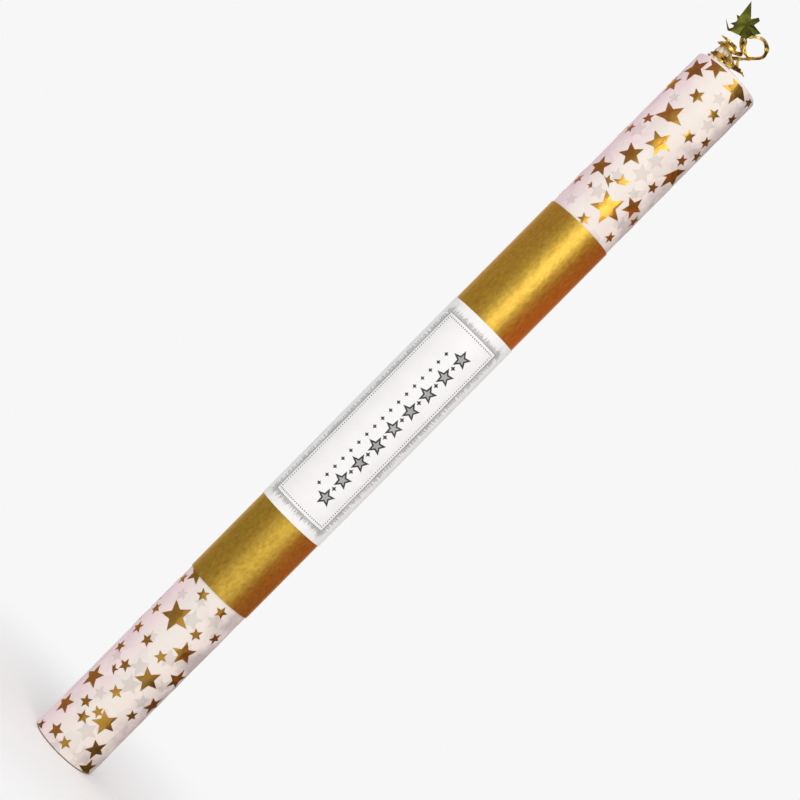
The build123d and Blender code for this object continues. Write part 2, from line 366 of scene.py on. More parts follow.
def pixel_on_tube(x, y, radius):
    """Angle and height where a pixel of the picture meets a cylinder round the tube's axis."""
    scale = SENSOR / LENS / PICTURE
    sideways = camera_right * ((x - PICTURE / 2) * scale)
    upwards = camera_up * ((PICTURE / 2 - y) * scale)
    ray = camera_forward + sideways + upwards
    across = ray.x ** 2 + ray.y ** 2
    towards = CAMERA_PLACE.x * ray.x + CAMERA_PLACE.y * ray.y
    beyond = CAMERA_PLACE.x ** 2 + CAMERA_PLACE.y ** 2 - radius ** 2
    # A pixel just off the tube takes the tube's edge
    root = math.sqrt(max(towards ** 2 - across * beyond, 0))
    place = CAMERA_PLACE + ray * ((-towards - root) / across)
    return math.atan2(place.x, -place.y), place.z


# Materials
def new_material(name):
    material = bpy.data.materials.new(name)
    material.use_nodes = True
    return material, material.node_tree, material.node_tree.nodes["Principled BSDF"]


def feed(tree, node, inputs):
    """Gives a node's inputs plain values or the outputs of other nodes."""
    for name, value in inputs.items():
        if isinstance(value, bpy.types.NodeSocket):
            tree.links.new(value, node.inputs[name])
        else:
            node.inputs[name].default_value = value


def add_node(tree, kind, inputs, **settings):
    made = tree.nodes.new("ShaderNode" + kind)
    for name, value in settings.items():
        setattr(made, name, value)
    feed(tree, made, inputs)
    return made


def place_in(tree, space="Object"):
    return add_node(tree, "TexCoord", {}).outputs[space]


def texture(tree, kind, scale, stretch=(1, 1, 1), output=0, **values):
    """An output of a texture in the object's own coordinates."""
    mapping = add_node(tree, "Mapping", {"Vector": place_in(tree), "Scale": stretch})
    made = add_node(tree, "Tex" + kind, {"Vector": mapping.outputs["Vector"], "Scale": scale, **values})
    return made.outputs[output]


def colour_ramp(tree, factor, stops):
    ramp = add_node(tree, "ValToRGB", {"Fac": factor})
    while len(ramp.color_ramp.elements) < len(stops):
        ramp.color_ramp.elements.new(0.5)
    for element, (position, colour) in zip(ramp.color_ramp.elements, stops):
        element.position = position
        element.color = (*colour, 1)
    return ramp.outputs["Color"]


def mixed(tree, factor, first, second, blend="MIX"):
    inputs = {"Factor": factor, "A": first, "B": second}
    return add_node(tree, "Mix", inputs, data_type="RGBA", blend_type=blend).outputs["Result"]


def bumped(tree, *layers):
    """The normal of bump layers (height, distance in metres, strength), one on the other."""
    below = {}
    for height, distance, strength in layers:
        bump = add_node(tree, "Bump", {"Height": height, "Distance": distance, "Strength": strength, **below})
        below = {"Normal": bump.outputs["Normal"]}
    return below["Normal"]


def ranged(tree, value, before, after, **settings):
    """A value taken from one range to another."""
    ends = {"From Min": before[0], "From Max": before[1], "To Min": after[0], "To Max": after[1]}
    return add_node(tree, "MapRange", {"Value": value, **ends}, **settings).outputs["Result"]


def share_along(tree, axis, low, high):
    """0 at the lower end and 1 at the upper end of a range along one of the object's axes."""
    split = add_node(tree, "SeparateXYZ", {"Vector": place_in(tree)})
    return ranged(tree, split.outputs[axis], (low, high), (0, 1))


def across_tube(tree, distortion):
    """0 at the tube's left side and 1 at its right side, unevenly."""
    share = share_along(tree, "X", -tissue_radius, tissue_radius)
    drift = ranged(tree, distortion, CLOUD_RANGE, (-TINT_DRIFT, TINT_DRIFT))
    return add_node(tree, "Math", {0: share, 1: drift}).outputs[0]


def tissue_material(name, strength=1.0, gathered=None):
    """Soft paper in layers, pink at the left, creamy in front and grey at the right, where the grey is
    painted shade.
    """
    material, tree, shader = new_material(name)
    cloud = texture(tree, "Noise", 95, Detail=3, Roughness=0.6)
    crease = texture(tree, "Voronoi", 230, Randomness=1.0)
    fibre = texture(tree, "Noise", 2600, (1, 1, 0.25), Detail=2)
    cells = texture(tree, "Voronoi", 175, (1, 1, 0.7), output="Color")
    cell = add_node(tree, "SeparateColor", {"Color": cells}).outputs[0]
    layers = colour_ramp(tree, cell, [(0.0, (0.84, 0.83, 0.835)), (0.7, (1, 1, 1))])
    side = across_tube(tree, cloud)
    tints_and_shade = [(place, [strength * part for part in tint]) for place, tint in TISSUE_TINTS_AND_SHADE]
    # Painted shade: the cells of the layers show darkest at the right side
    weight = colour_ramp(tree, side, [(0.1, (0.55,) * 3), (0.5, (0.3,) * 3), (0.9, (1.0,) * 3)])
    colour = mixed(tree, weight, colour_ramp(tree, side, tints_and_shade), layers, "MULTIPLY")
    if gathered:
        # Painted shade in the neck's pleats, laid out by noise
        pleat = texture(tree, "Noise", 520, (1, 1, 0.35), Detail=1)
        folds = colour_ramp(tree, pleat, [(0.38, gathered), (0.62, NECK_CREAM_AND_SHADE)])
        foot = rim + CROWN_HEIGHT
        colour = mixed(tree, share_along(tree, "Z", foot, foot + CROWN_RISE), colour, folds)
    normal = bumped(tree, (crease, 0.35 * MM, 0.22), (fibre, 0.03 * MM, 0.15))
    feed(tree, shader, {"Base Color": colour, "Roughness": 0.6, "Specular IOR Level": 0.35, "Normal": normal})
    return material


def gold_material(name, dark, light, edge, roughness, folds, mottle=850, per_piece=False):
    """Metallic gold paper or foil, finely mottled, with a warm edge."""
    material, tree, shader = new_material(name)
    speckle = texture(tree, "Noise", mottle, (1, 1, 0.6), Detail=3, Roughness=0.65)
    brush = texture(tree, "Noise", 340, (1, 1, 0.5), Detail=4, Roughness=0.7)
    cloud = texture(tree, "Noise", 60, Detail=2)
    colour = colour_ramp(tree, speckle, [(0.3, dark), (0.7, light)])
    if per_piece:
        island = add_node(tree, "NewGeometry", {}).outputs["Random Per Island"]
        colour = mixed(tree, 1.0, colour, colour_ramp(tree, island, STAR_TONES), "MULTIPLY")
    scale, depth, strength = folds
    crinkle = texture(tree, "Voronoi", scale, (1, 1, 0.7), Randomness=1.0)
    coarse = [(cloud, 0.5 * MM, 0.1), (crinkle, depth, strength)]
    fine = [(brush, 0.16 * MM, 0.3), (speckle, 0.06 * MM, 0.35)]
    feed(tree, shader, {
        "Base Color": colour,
        "Metallic": 1.0,
        "Specular Tint": (*edge, 1),
        "Roughness": ranged(tree, speckle, (0, 1), (roughness - 0.05, roughness + 0.07)),
        "Coat Weight": 0.35,
        "Coat Roughness": 0.32,
        "Normal": bumped(tree, *coarse, *fine),
    })
    return material


def paper_material(name, dark, light, roughness=0.7):
    material, tree, shader = new_material(name)
    cloud = texture(tree, "Noise", 140, Detail=4)
    grain = texture(tree, "Noise", 3800, Detail=2)
    feed(tree, shader, {
        "Base Color": colour_ramp(tree, cloud, [(0.35, dark), (0.65, light)]),
        "Roughness": ranged(tree, grain, (0, 1), (roughness - 0.06, roughness + 0.06)),
        "Specular IOR Level": 0.3,
        "Normal": bumped(tree, (grain, 0.02 * MM, 0.2)),
    })
    return material


def kraft_material():
    """Grey-brown board with long fibres and darker flecks."""
    material, tree, shader = new_material("kraft_board")
    fibre = texture(tree, "Noise", 420, (1, 1, 0.12), Detail=5)
    fleck = texture(tree, "Noise", 1500, Detail=1)
    board = colour_ramp(tree, fibre, [(0.3, (0.24, 0.15, 0.08)), (0.7, (0.40, 0.27, 0.155))])
    flecks = colour_ramp(tree, fleck, [(0.28, (0.45, 0.4, 0.35)), (0.4, (1, 1, 1))])
    colour = mixed(tree, 1.0, board, flecks, "MULTIPLY")
    normal = bumped(tree, (fibre, 0.12 * MM, 0.4))
    feed(tree, shader, {"Base Color": colour, "Roughness": 0.85, "Normal": normal})
    return material


def metal_material(name, scale, stretch, stops, roughness, bump, **detail):
    """Metal whose grain or folds colour, roughen and bump it; on foil the darker fold colour is painted
    shade.
    """
    material, tree, shader = new_material(name)
    grain = texture(tree, "Noise", scale, stretch, **detail)
    feed(tree, shader, {
        "Base Color": colour_ramp(tree, grain, stops),
        "Metallic": 1.0,
        "Roughness": ranged(tree, grain, (0, 1), roughness),
        "Normal": bumped(tree, (grain, *bump)),
    })
    return material


def steel_material():
    """Drawn wire, with fine lines along it."""
    stops = [(0.3, (0.30, 0.29, 0.28)), (0.7, (0.52, 0.51, 0.49))]
    lines = (0.03 * MM, 0.3)
    return metal_material("sparkler_steel", 1400, (1, 1, 0.03), stops, (0.28, 0.45), lines, Detail=3)


def coating_material():
    """Hard grey spark mix with bright metal specks."""
    material, tree, shader = new_material("spark_coating")
    grain = texture(tree, "Noise", 1900, Detail=4)
    speck = texture(tree, "Voronoi", 1500, Randomness=1.0)
    body = colour_ramp(tree, grain, [(0.3, (0.075, 0.075, 0.08)), (0.7, (0.19, 0.19, 0.195))])
    specks = colour_ramp(tree, speck, [(0.12, (0.5, 0.5, 0.5)), (0.2, (0, 0, 0))])
    colour = mixed(tree, 1.0, body, specks, "ADD")
    normal = bumped(tree, (grain, 0.12 * MM, 0.5))
    feed(tree, shader, {"Base Color": colour, "Roughness": 0.72, "Normal": normal})
    return material


def garland_material(name, dark, middle, light, roughness, folds):
    """Crinkled foil: darker patches, painted shade in the folds, beside bright ones."""
    stops = [(0.36, dark), (0.5, middle), (0.66, light)]
    spread = (roughness - 0.08, roughness + 0.1)
    return metal_material(name, folds, (1, 1, 1), stops, spread, (0.3 * MM, 0.35), Detail=2, Roughness=0.6)


tissue_paper = tissue_material("star_tissue")
ghost_paper = tissue_material("tissue_show_through", SHOW_THROUGH)
gathered_paper = tissue_material("gathered_tissue", gathered=PAINTED_PLEAT_SHADE)
gold_paper = gold_material(
    "gold_paper", (0.43, 0.258, 0.022), (0.62, 0.405, 0.052), (1.0, 0.7, 0.45), 0.41, (480, 0.4 * MM, 0.14)
)
star_foil = gold_material(
    "star_foil", (0.41, 0.23, 0.03), (0.54, 0.31, 0.045), (0.8, 0.4, 0.2), 0.30, (290, 0.8 * MM, 0.35),
    mottle=600, per_piece=True,
)
label_paper = paper_material("label_paper", (0.90, 0.90, 0.895), (0.93, 0.93, 0.925))
fringe_ink = paper_material("fringe_ink", (0.50, 0.50, 0.50), (0.60, 0.60, 0.60))
grey_ink = paper_material("grey_ink", (0.36, 0.36, 0.36), (0.46, 0.46, 0.46))
black_ink = paper_material("black_ink", (0.035, 0.035, 0.037), (0.07, 0.07, 0.072))
# The darkest colour of each garland foil is painted shade in its folds
garland_gold = garland_material(
    "garland_foil", (0.09, 0.045, 0.008), (0.58, 0.36, 0.05), (0.92, 0.70, 0.20), 0.2, 330
)
garland_olive = garland_material(
    "garland_star_foil", (0.04, 0.042, 0.008), (0.068, 0.074, 0.012), (0.125, 0.13, 0.02), 0.42, 150
)


# Pieces
def new_object(name, data):
    made = bpy.data.objects.new(name, data)
    bpy.context.scene.collection.objects.link(made)
    return made


def mesh_object(name, places, faces, material):
    mesh = bpy.data.meshes.new(name)
    mesh.from_pydata([tuple(place) for place in places], [], faces)
    mesh.materials.append(material)
    return new_object(name, mesh)


def add_piece(name, places, faces, material, body, slot, *nodes, smooth=True):
    """A mesh piece that rides on a body and stands for the named nodes."""
    piece = mesh_object(name, places, faces, material)
    mesh = piece.data
    mesh.polygons.foreach_set("use_smooth", [smooth] * len(mesh.polygons))
    mesh.update()
    if smooth:
        mesh.set_sharp_from_angle(angle=SHARP_ANGLE)
    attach(piece, body)
    if nodes:
        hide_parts(*nodes)


def grid_faces(rows, columns, first=0, closed=False, flip=False):
    """Quads between rows of points that follow each other."""
    faces = []
    for row in range(rows - 1):
        for column in range(columns if closed else columns - 1):
            after = (column + 1) % columns
            low = first + row * columns
            high = low + columns
            face = (low + column, low + after, high + after, high + column)
            faces.append(face[::-1] if flip else face)
    return faces


def skin_faces(places, columns, start, end):
    """Faces of a closed skin of rings, with a middle point added to its places at each end."""
    rows = len(places) // columns
    last = (rows - 1) * columns
    faces = grid_faces(rows, columns, closed=True)
    places += [start, end]
    for column in range(columns):
        after = (column + 1) % columns
        faces.append((len(places) - 2, after, column))
        faces.append((len(places) - 1, last + column, last + after))
    return faces


def rows_between(low, high, pitch):
    count = max(round((high - low) / pitch), 1)
    return [low + (high - low) * row / count for row in range(count + 1)]


def lap_lift(turn, sheet):
    """How far a rolled sheet rises where it comes round onto its own start."""
    return sheet * smooth_step((turn - (FULL_TURN - LAP_RAMP)) / LAP_RAMP)


def slab_faces(rows, columns, first=0):
    """Faces of a thin closed sheet: an outer grid of points, then an inner one, joined round their edges."""
    inner = rows * columns
    faces = grid_faces(rows, columns, first) + grid_faces(rows, columns, first + inner, flip=True)
    border = [*range(0, inner - columns, columns), *range(inner - columns, inner - 1)]
    border += [*range(inner - 1, columns - 1, -columns), *range(columns - 1, 0, -1)]
    border = [first + corner for corner in border]
    for here, after in zip(border, border[1:] + border[:1]):
        faces.append((here, after, inner + after, inner + here))
    return faces


def rolled_sheet(radius, sheet, lap, heights, relief):
    """A closed thin sheet rolled round the tube, its end lapped over its start at the back."""
    lap_columns = round(COLUMNS * lap / FULL_TURN)
    turns = [FULL_TURN * column / COLUMNS for column in range(COLUMNS + lap_columns + 1)]
    places = []
    for side in (0, sheet):
        for height in heights:
            for turn in turns:
                angle = SEAM + turn
                out = radius + lap_lift(turn, sheet) + relief(angle, height) - side
                places.append(around(angle, height, out))
    return places, slab_faces(len(heights), len(turns))


def crumple(angle, height):
    """Soft creases in the tissue, which die away at its held edges and under the gold band."""
    if band_low <= height <= band_high:
        return 0.0
    edges = (tissue_low, band_low, band_high, tissue_high)
    held = smooth_step(min(abs(height - edge) for edge in edges) / CRUMPLE_FADE)
    place = around(angle, height, tissue_radius)
    broad = noise.noise(place * CRUMPLE_SCALE)
    patch = smooth_step(PATCH_LEVEL + PATCH_CONTRAST * noise.noise(place * PATCH_SCALE + PATCH_SHIFT))
    seat = place / FACET_SIZE
    distances, corners = noise.voronoi(seat)
    facet = 0.0
    total = 0.0
    for distance, corner in zip(distances, corners):
        weight = math.exp(FACET_SHARPNESS * (distances[0] - distance))
        facet += weight * noise.noise_vector(corner * FACET_VARIETY).dot(seat - corner)
        total += weight
    facet /= total
    return held * (CRUMPLE * broad + FACET_DEPTH * patch * facet)


def tissue_surface(angle, height):
    """Radius of the tissue's outer face, with its lap at the back."""
    turn = (angle - SEAM) % FULL_TURN
    lapped = turn if turn > TISSUE_LAP else turn + FULL_TURN
    return tissue_radius - TISSUE_INSET + lap_lift(lapped, TISSUE_SHEET) + crumple(angle, height)


def ripple(angle, height):
    return BAND_RIPPLE * noise.noise(around(angle, height, band_radius) * RIPPLE_SCALE)


def flat_relief(angle, height):
    return 0.0


def add_wrap():
    heights = rows_between(tissue_low, band_low, TISSUE_ROW)
    heights += rows_between(band_low, band_high, HIDDEN_ROW)[1:-1]
    heights += rows_between(band_high, tissue_high, TISSUE_ROW)
    places, faces = rolled_sheet(tissue_radius - TISSUE_INSET, TISSUE_SHEET, TISSUE_LAP, heights, crumple)
    add_piece("tissue_wrap", places, faces, tissue_paper, "tube", "star_tissue", "star_tissue")
    heights = rows_between(band_low, band_high, BAND_ROW)
    places, faces = rolled_sheet(band_radius, BAND_SHEET, BAND_LAP, heights, ripple)
    add_piece("gold_wrap", places, faces, gold_paper, "tube", "gold_paper", "gold_band")
    heights = rows_between(label_low, label_high, LABEL_ROW)
    places, faces = rolled_sheet(label_radius, LABEL_SHEET, LABEL_LAP, heights, flat_relief)
    add_piece("label_wrap", places, faces, label_paper, "tube", "label_paper", "label")


class Print:
    """Thin closed patches laid on a round surface, gathered into one mesh."""

    def __init__(self, radius, surface, proud, sunk):
        self.radius = radius
        self.surface = surface
        self.proud = proud
        self.sunk = sunk
        self.places = []
        self.faces = []

    def lay(self, centre, across, along, lift):
        """A point across and along from a centre, both in metres on the surface."""
        angle = centre[0] + across / self.radius
        height = centre[1] + along
        self.places.append(around(angle, height, self.surface(angle, height) + lift))

    def patch(self, centre, outline):
        """A patch with a clockwise outline, all in sight of its centre, fine enough to follow the curve."""
        points = []
        for here, after in zip(outline, outline[1:] + outline[:1]):
            steps = max(math.ceil(math.dist(here, after) / DECAL_PITCH), 1)
            for step in range(steps):
                share = step / steps
                points.append([a + (b - a) * share for a, b in zip(here, after)])
        reach = max(math.hypot(*point) for point in points)
        rings = max(math.ceil(reach / DECAL_PITCH), 1)
        count = len(points)
        first = len(self.places)
        self.lay(centre, 0, 0, self.proud)
        for ring in range(1, rings + 1):
            for across, along in points:
                self.lay(centre, across * ring / rings, along * ring / rings, self.proud)
        for across, along in points:
            self.lay(centre, across, along, -self.sunk)
        self.lay(centre, 0, 0, -self.sunk)
        last = len(self.places) - 1
        ring_start = first + 1
        for column in range(count):
            after = (column + 1) % count
            self.faces.append((first, ring_start + after, ring_start + column))
            self.faces.append((last, last - count + column, last - count + after))
        self.faces += grid_faces(rings + 1, count, ring_start, closed=True)

    def strip(self, centre, half_across, half_along):
        """An upright rectangle, fine enough to follow the curve."""
        first = len(self.places)
        columns = rows_between(-half_across, half_across, DECAL_PITCH)
        rows = rows_between(-half_along, half_along, DECAL_PITCH)
        for lift in (self.proud, -self.sunk):
            for along in rows:
                for across in columns:
                    self.lay(centre, across, along, lift)
        self.faces += slab_faces(len(rows), len(columns), first)

    def add(self, name, material, slot):
        add_piece(name, self.places, self.faces, material, "tube", slot)


def star_outline(reach, turn, waist=STAR_WAIST, tips=5):
    """Corners of a star, its first tip turned clockwise from straight up the tube, in radians."""
    corners = []
    for corner in range(2 * tips):
        size = reach if corner % 2 == 0 else reach * waist
        angle = turn + math.pi * corner / tips
        corners.append((size * math.sin(angle), size * math.cos(angle)))
    return corners


def cut_outline(outline, turn, distance):
    """The outline with all that lies past a straight cut laid back onto it."""
    normal = (math.sin(turn), math.cos(turn))
    corners = []
    for across, along in outline:
        past = max(across * normal[0] + along * normal[1] - distance, 0)
        corners.append((across - past * normal[0], along - past * normal[1]))
    return corners


def fitted(x, y, outline):
    """A star's place and its outline, cut where the tissue ends above and below."""
    angle, height = pixel_on_tube(x, y, tissue_radius)
    height = min(max(height, tissue_low + LEAST_STAR), tissue_high - LEAST_STAR)
    outline = cut_outline(outline, 0, tissue_high - EDGE_MARGIN - height)
    return (angle, height), cut_outline(outline, math.pi, height - tissue_low - EDGE_MARGIN)


def apart(centre, reach, others):
    """Does a star keep clear of all the others on the unrolled tissue?"""
    for (angle, height), other in others:
        turn = (centre[0] - angle + math.pi) % FULL_TURN - math.pi
        room = STAR_CLOSENESS * (reach + other) + STAR_SPACING
        if math.hypot(turn * tissue_radius, centre[1] - height) < room:
            return False
    return True


def scattered(chance, sizes, zone, margin, lean):
    """A random star round the back of the tissue: its place, reach and turn."""
    reach = chance.choice(sizes)
    angle = chance.uniform(FRONT_ARC, FULL_TURN - FRONT_ARC)
    height = chance.uniform(zone[0] + margin * reach, zone[1] - margin * reach)
    return (angle, height), reach, math.radians(chance.uniform(-lean, lean))


def add_stars():
    """Foil stars: those in the picture, then a scatter round the back, and faint ones that show through."""
    chance = random.Random(STAR_SEED)
    placed = []
    gold = Print(tissue_radius, tissue_surface, STAR_PROUD, STAR_SUNK)
    ghosts = Print(tissue_radius, tissue_surface, GHOST_PROUD, STAR_SUNK)
    for x, y, reach, turn, *cut in SEEN_STARS:
        outline = star_outline(reach * STAR_GROWTH * MM, math.radians(turn) - CAMERA_ROLL)
        if cut:
            outline = cut_outline(outline, math.radians(cut[0]) - CAMERA_ROLL, cut[1] * MM)
        centre, outline = fitted(x, y, outline)
        placed.append((centre, reach * MM))
        gold.patch(centre, outline)
    zones = [(tissue_low, band_low), (band_high, tissue_high)]
    for attempt in range(SCATTER_TRIES):
        centre, reach, turn = scattered(chance, GOLD_SIZES, zones[attempt % 2], GOLD_MARGIN, STAR_LEAN)
        if apart(centre, reach, placed):
            placed.append((centre, reach))
            gold.patch(centre, star_outline(reach, turn - CAMERA_ROLL))
    for x, y, reach, turn in FAINT_STARS:
        outline = star_outline(reach * MM, math.radians(turn) - CAMERA_ROLL, GHOST_WAIST)
        ghosts.patch(*fitted(x, y, outline))
    for count in range(BACK_GHOSTS):
        centre, reach, turn = scattered(chance, GHOST_SIZES, zones[count % 2], 1, GHOST_LEAN)
        ghosts.patch(centre, star_outline(reach, turn, GHOST_WAIST))
    gold.add("tissue_stars", star_foil, "gold_paper")
    ghosts.add("tissue_faint_stars", ghost_paper, "star_tissue")


def label_surface(angle, height):
    return label_radius


def leaf_outline(turn, length, width, slant=0.0):
    """A pointed leaf that starts at its foot, as its middle and its corners round that middle."""
    onward = (math.sin(turn), math.cos(turn))
    across = (math.cos(turn), -math.sin(turn))
    corners = []
    for side, reach in ((-width / 2, 0), (slant, length), (width / 2, 0)):
        corners.append((across[0] * side + onward[0] * reach, across[1] * side + onward[1] * reach))
    middle = [sum(corner[axis] for corner in corners) / 3 for axis in (0, 1)]
    return middle, [(x - middle[0], y - middle[1]) for x, y in corners]


def add_label_print():
    """A frame of fine lines with a leafy fringe and dots, and a plain ornament of stars in place of words."""
    chance = random.Random(FRINGE_SEED)
    grey = Print(label_radius, label_surface, INK_PROUD, INK_SUNK)
    black = Print(label_radius, label_surface, INK_PROUD, INK_SUNK)
    inlay = Print(label_radius, label_surface, INLAY_PROUD, INK_SUNK)
    half_width = FRAME_HALF_ARC * label_radius
    half_height = (FRAME_HIGH - FRAME_LOW) / 2
    middle = (FRAME_LOW + FRAME_HIGH) / 2

    def at(across, along):
        return (FRAME_TURN + across / label_radius, middle + along)

    def leaf(foot, turn, length, width, slant):
        shift, outline = leaf_outline(turn, length, width, slant)
        grey.patch(at(foot[0] + shift[0], foot[1] + shift[1]), outline)

    for upright, distance, half_run in ((True, half_width, half_height), (False, half_height, half_width)):
        # A place is given as the distance out and the run along, which trade places on a level side
        order = 1 if upright else -1
        for sign in (-1, 1):
            turn = sign * math.pi / 2 if upright else (0 if sign > 0 else math.pi)
            black.strip(at(*(sign * distance, 0)[::order]), *(FRAME_LINE / 2, half_run)[::order])
            for run in rows_between(-half_run, half_run, FRINGE_PITCH):
                length = chance.uniform(*FRINGE_LENGTH) * (SIDE_FRINGE if upright else 1)
                slant = chance.uniform(-FRINGE_SLANT, FRINGE_SLANT) * length
                leaf((sign * distance, run)[::order], turn, length, FRINGE_WIDTH, slant)
            inside = sign * (distance - DOT_INSET)
            runs = rows_between(DOT_INSET - half_run, half_run - DOT_INSET, DOT_PITCH)
            # The corner dots belong to the upright sides
            for run in runs if upright else runs[1:-1]:
                black.strip(at(*(inside, run)[::order]), DOT_SIZE / 2, DOT_SIZE / 2)
    for side in (-1, 1):
        for end in (-1, 1):
            diagonal = math.atan2(side, end)
            for number in range(TUFT_LEAVES):
                spread = TUFT_SPREAD * (2 * number / (TUFT_LEAVES - 1) - 1)
                length = chance.uniform(*TUFT_LENGTH)
                leaf((side * half_width, end * half_height), diagonal + spread, length, TUFT_WIDTH, 0.0)

    def star_row(ink, count, pitch, shift, *star):
        for number in range(count):
            ink.patch(at(shift, (number - (count - 1) / 2) * pitch), star_outline(*star))

    shift = ORNAMENT_SHIFT
    star_row(black, ORNAMENT_COUNT, ORNAMENT_PITCH, shift, ORNAMENT_STAR, -math.pi / 2)
    star_row(inlay, ORNAMENT_COUNT, ORNAMENT_PITCH, shift, ORNAMENT_STAR * ORNAMENT_INLAY, -math.pi / 2)
    star_row(black, ORNAMENT_COUNT - 1, ORNAMENT_PITCH, shift, ORNAMENT_SPOT, 0, SPOT_WAIST, SPOT_TIPS)
    small_star = (SMALL_ROW_STAR, 0, SMALL_ROW_WAIST, SPOT_TIPS)
    star_row(black, SMALL_ROW_COUNT, SMALL_ROW_PITCH, SMALL_ROW_SHIFT, *small_star)
    grey.add("label_fringe", fringe_ink, "label_paper")
    black.add("label_ornament", black_ink, "label_paper")
    inlay.add("label_ornament_inlay", grey_ink, "label_paper")


def neck_point(along):
    return neck_base + neck_axis * along


def add_tied_top():
    """Tissue folded in over the rim, drawn in folds to the neck and gathered there between the windings."""
    edge = tissue_radius - TISSUE_INSET
    level = Vector((1, 0, 0))
    # A ring is its middle, its direction to the right, radius, folds, their lift and its sag at the left
    rings = []
    for outer, profile, fold in ((bore_radius, UNDERSIDE, 0.0), (edge, SHOULDER, SHOULDER_FOLD)):
        for inward, height in profile:
            middle = Vector((0, 0, rim + height * MM))
            rings.append((middle, level, outer - inward * MM, fold * height, 0.0, CROWN_SAG))
    start_in, start_rise = SHOULDER[-1]
    for step in range(1, CROWN_STEPS + 1):
        share = step / CROWN_STEPS
        radius = (edge - start_in * MM) * (1 - share) + NECK_FOOT * share
        rise = start_rise * MM + (CROWN_RISE - start_rise * MM) * share ** CROWN_CURVE
        middle = Vector((-NECK_OFFSET * share, 0, rim + rise))
        lift = CROWN_LIFT * math.sin(math.pi * share) ** 0.5
        rings.append((middle, level, radius, CROWN_FOLD * share, lift, CROWN_SAG * (1 - share)))
    foot = CROWN_RISE - CROWN_HEIGHT
    start = foot + NECK_GAP
    for step in range(1, NECK_STEPS + 1):
        share = step / NECK_STEPS
        along = start + (NECK_LENGTH * NECK_LAST_RING - start) * share
        swell = 0.5 + 0.5 * math.cos(FULL_TURN * (along / MM - NECK_BULGE_AT) / NECK_BULGE_PITCH)
        flare = (NECK_FOOT - NECK_RADIUS) * math.exp((foot - along) / NECK_FLARE)
        taper = (NECK_RADIUS - NECK_TOP) * smooth_step((share - NECK_TAPER) / (1 - NECK_TAPER))
        radius = NECK_RADIUS + flare - taper + NECK_BULGE * swell * math.sin(math.pi * share)
        rings.append((neck_point(along), neck_right, radius, NECK_FOLD, 0.0, 0.0))
    rings.append((neck_point(NECK_LENGTH), neck_right, NECK_TOP * NECK_END, NECK_END_FOLD, 0.0, 0.0))
    places = []
    for number, (middle, right, radius, fold, lift, sag) in enumerate(rings):
        for column in range(TOP_COLUMNS):
            angle = FULL_TURN * column / TOP_COLUMNS
            seat = Vector((math.sin(angle) * FOLD_SPREAD, math.cos(angle) * FOLD_SPREAD, number * FOLD_DRIFT))
            wave = math.cos(FOLDS * (angle + FOLD_WANDER * noise.noise(seat)))
            out = radius * (1 + fold * wave)
            place = middle + right * (out * math.sin(angle)) + neck_front * (out * math.cos(angle))
            place.z += lift * wave
            place.z -= sag * (1 - math.sin(angle)) * (place.z - rim)
            places.append(place)
    ends = (Vector((0, 0, rim + UNDERSIDE_MIDDLE)), neck_point(NECK_LENGTH + NECK_TIP))
    faces = skin_faces(places, TOP_COLUMNS, *ends)
    add_piece("gathered_top", places, faces, gathered_paper, "tied_top", "star_tissue", "tissue_top")


def winding(start, pitch, quarters, first, last):
    """A helix on the neck from its front by its left side, a point every quarter turn."""
    stations = []
    for quarter in range(quarters + 1):
        angle = math.pi * quarter / 2
        outward = neck_front * math.cos(angle) - neck_right * math.sin(angle)
        centre = neck_point((start + pitch * quarter / 4) * MM) + GARLAND_SHIFT * MM
        stations.append(centre + outward * ((first + (last - first) * quarter / quarters) * MM))
    return stations


def above_rim(place):
    """A point of the garland, given in millimetres above the middle of the rim."""
    return Vector((0, 0, rim)) + (Vector(place) + GARLAND_SHIFT) * MM


def stations_of(route):
    return [above_rim(place) for place in route]


def smooth_line(stations):
    """Even points on a smooth line through all stations."""
    padded = [stations[0] * 2 - stations[1], *stations, stations[-1] * 2 - stations[-2]]
    points = [stations[0]]
    for a, b, c, d in zip(padded, padded[1:], padded[2:], padded[3:]):
        steps = max(round((c - b).length / FOIL_STEP), 2)
        for step in range(1, steps + 1):
            t = step / steps
            line = b * 2 + (c - a) * t + (a * 2 - b * 5 + c * 4 - d) * t ** 2
            points.append((line + (b * 3 - a - c * 3 + d) * t ** 3) / 2)
    return points


def sweep(points, section):
    """A closed skin along a line. The section gives the outward size for a point's number and an angle."""
    side = Vector((0, 1, 0))
    places = []
    for number, point in enumerate(points):
        onward = (points[min(number + 1, len(points) - 1)] - points[max(number - 1, 0)]).normalized()
        side = (side - onward * side.dot(onward)).normalized()
        other = onward.cross(side)
        for corner in range(FOIL_SIDES):
            angle = FULL_TURN * corner / FOIL_SIDES
            out = section(number, angle)
            places.append(point + side * (out * math.cos(angle)) + other * (out * math.sin(angle)))
    return places, skin_faces(places, FOIL_SIDES, points[0], points[-1])


def foil_section(points, radius):
    """The section of a flat foil ribbon, twisted and crinkled along a line of points."""

    def uneven(size, place):
        return size[0] * noise.noise(place * size[1])

    def section(number, angle):
        point = points[number]
        end = min(number, len(points) - 1 - number)
        taper = FOIL_END + (1 - FOIL_END) * smooth_step(end / FOIL_END_STEPS)
        twist = number * FOIL_STEP * FOIL_TWIST + uneven(FOIL_WANDER, point)
        flat = 1 + FOIL_FLATNESS * math.cos(2 * (angle - twist))
        size, scale = FOIL_CRINKLE
        seat = point * scale + Vector((math.cos(angle), math.sin(angle), 0)) * CRINKLE_SPREAD
        return radius * taper * (1 + uneven(FOIL_SWELL, point)) * flat * (1 + size * noise.noise(seat))

    return section


